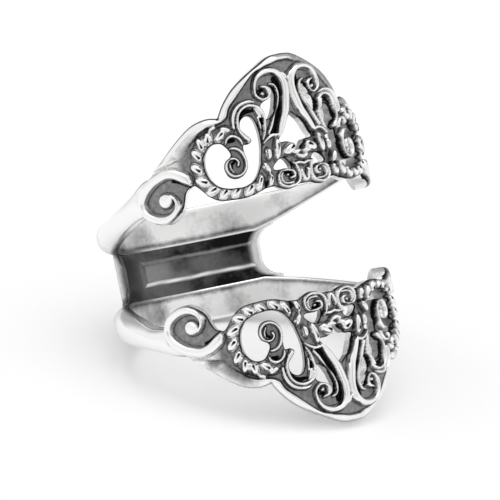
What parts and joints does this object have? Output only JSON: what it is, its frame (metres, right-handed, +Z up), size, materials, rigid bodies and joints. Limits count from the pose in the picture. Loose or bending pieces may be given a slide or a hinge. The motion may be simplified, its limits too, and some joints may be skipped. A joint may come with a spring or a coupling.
{
  "type": "guard ring",
  "caption": "Jewellery ring of two pierced scrollwork crowns on plain bands, joined by a short bridge behind, to enclose another ring.",
  "frame": {"origin": "on the surface it rests on, under the middle of its box", "axes": "+Z up, the pierced front faces -Y, +X to the wearer's side; the finger's axis is in the YZ plane and leans back 26.4 degrees from +Z"},
  "size_m": [0.0202, 0.0253, 0.0241],
  "materials": {
    "silver": "polished cast silver, darkened in the sunk ground between the scrolls"
  },
  "bodies": {
    "root": {"guard_ring": "silver"}
  },
  "joints": []
}
